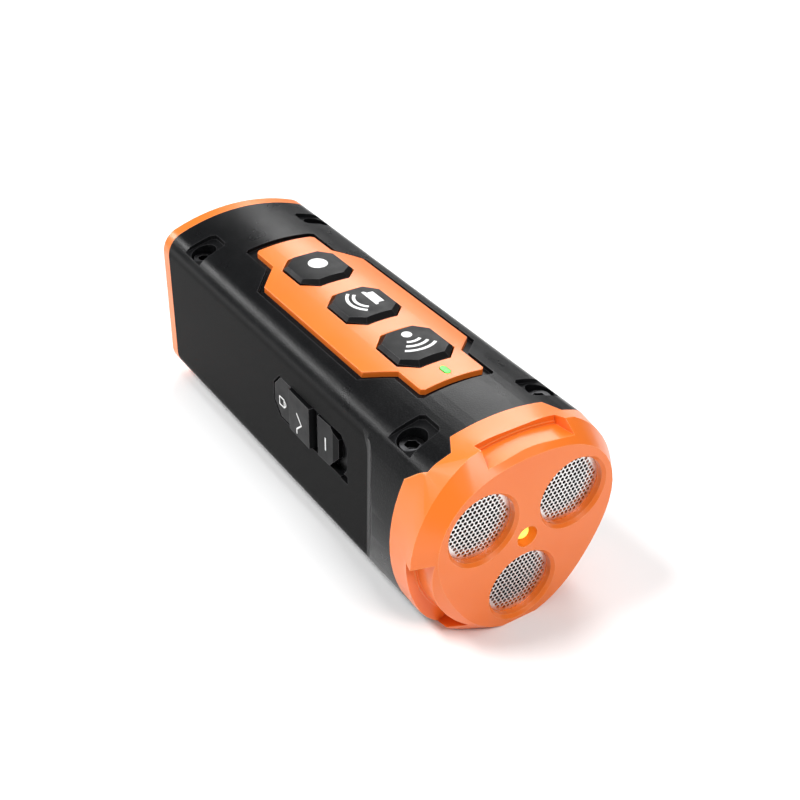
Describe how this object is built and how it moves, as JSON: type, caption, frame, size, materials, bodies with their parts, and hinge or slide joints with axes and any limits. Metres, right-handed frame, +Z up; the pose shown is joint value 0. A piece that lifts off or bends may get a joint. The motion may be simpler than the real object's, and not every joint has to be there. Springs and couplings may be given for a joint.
{
  "type": "ultrasonic dog trainer with torch",
  "caption": "Hand-held box-section dog training device: octagonal push buttons on the top, round mesh emitters at one end, a torch at the other and a lock slide on the side.",
  "frame": {"origin": "under the middle of the handle, on the surface that it lies on", "axes": "+X along the handle towards the emitters, +Z up through the buttons, -Y out of the side with the lock slide"},
  "size_m": [0.132, 0.0534, 0.0485],
  "materials": {
    "charcoal_plastic": "moulded ABS with a fine satin texture",
    "orange_plastic": "bright orange moulded ABS, satin to glossy",
    "indicator_green": "green light pipe, lit",
    "black_plastic": "satin black moulded plastic",
    "white_print": "white filled marks",
    "switch_plastic": "black switch plastic",
    "steel": "nickel plated",
    "mesh_steel": "bright perforated steel",
    "black_screw_steel": "black oxide",
    "circuit_board": "green solder mask",
    "chip_black": "black moulded epoxy",
    "coil_copper": "enamelled copper winding on a core",
    "capacitor_can": "sleeved can",
    "led_clear": "clear resin over a phosphor",
    "rubber_black": "soft black rubber",
    "cell_wrap": "shrink wrap",
    "cone_alloy": "spun foil",
    "led_yellow": "yellow phosphor dome",
    "reflector_chrome": "vacuum metallised",
    "lens_clear": "clear polycarbonate",
    "alloy": "bare aluminium",
    "lead_rubber": "silicone insulation"
  },
  "bodies": {
    "housing": {"upper_housing": "charcoal_plastic", "lower_cover": "charcoal_plastic", "front_cap": "orange_plastic", "rear_cap": "orange_plastic", "faceplate": "orange_plastic", "indicator_lens": "indicator_green", "tact_sound": "steel", "tact_beacon": "steel", "tact_train": "steel", "slide_switch": "steel", "switch_board": "circuit_board", "housing_screws": "black_screw_steel", "board_screws": "steel", "main_board": "circuit_board", "controller_chip": "chip_black", "drive_coils": "coil_copper", "board_capacitors": "capacitor_can", "indicator_led": "led_clear", "charge_board": "circuit_board", "charge_socket": "steel", "flap_anchor": "rubber_black", "battery_cell": "cell_wrap", "battery_tabs": "steel", "battery_foam": "rubber_black", "emitter_board": "circuit_board", "can_left": "steel", "can_right": "steel", "can_bottom": "steel", "cone_left": "cone_alloy", "cone_right": "cone_alloy", "cone_bottom": "cone_alloy", "base_left": "chip_black", "base_right": "chip_black", "base_bottom": "chip_black", "mesh_left": "mesh_steel", "mesh_right": "mesh_steel", "mesh_bottom": "mesh_steel", "centre_led": "led_yellow", "torch_reflector": "reflector_chrome", "torch_lens": "lens_clear", "lens_seal": "rubber_black", "torch_led": "led_clear", "torch_board": "alloy", "torch_heatsink": "alloy", "leads": "lead_rubber"},
    "push_sound": {"button_sound": "black_plastic", "icon_sound": "white_print", "plunger_sound": "switch_plastic"},
    "push_beacon": {"button_beacon": "black_plastic", "icon_beacon": "white_print", "plunger_beacon": "switch_plastic"},
    "push_train": {"button_train": "black_plastic", "icon_train": "white_print", "plunger_train": "switch_plastic"},
    "slider": {"lock_slider": "black_plastic", "slider_marks": "white_print", "slider_clip": "switch_plastic", "switch_lever": "switch_plastic"},
    "flap": {"port_flap": "rubber_black"}
  },
  "joints": [
    {"name": "press_sound", "type": "slide", "parent": "housing", "child": "push_sound", "axis": [0, 0, -1], "range_m": [0, 0.0006], "stiffness_N_per_m": 2500, "springref_m": -0.0002},
    {"name": "press_beacon", "type": "slide", "parent": "housing", "child": "push_beacon", "axis": [0, 0, -1], "range_m": [0, 0.0006], "stiffness_N_per_m": 2500, "springref_m": -0.0002},
    {"name": "press_train", "type": "slide", "parent": "housing", "child": "push_train", "axis": [0, 0, -1], "range_m": [0, 0.0006], "stiffness_N_per_m": 2500, "springref_m": -0.0002},
    {"name": "lock_slide", "type": "slide", "parent": "housing", "child": "slider", "axis": [1, 0, 0], "range_m": [0, 0.004]},
    {"name": "flap_hinge", "type": "hinge", "parent": "housing", "child": "flap", "pos_m": [-0.0446, 0.0215, 0.0256], "axis": [0, 0, 1], "range_deg": [0, 110]}
  ]
}
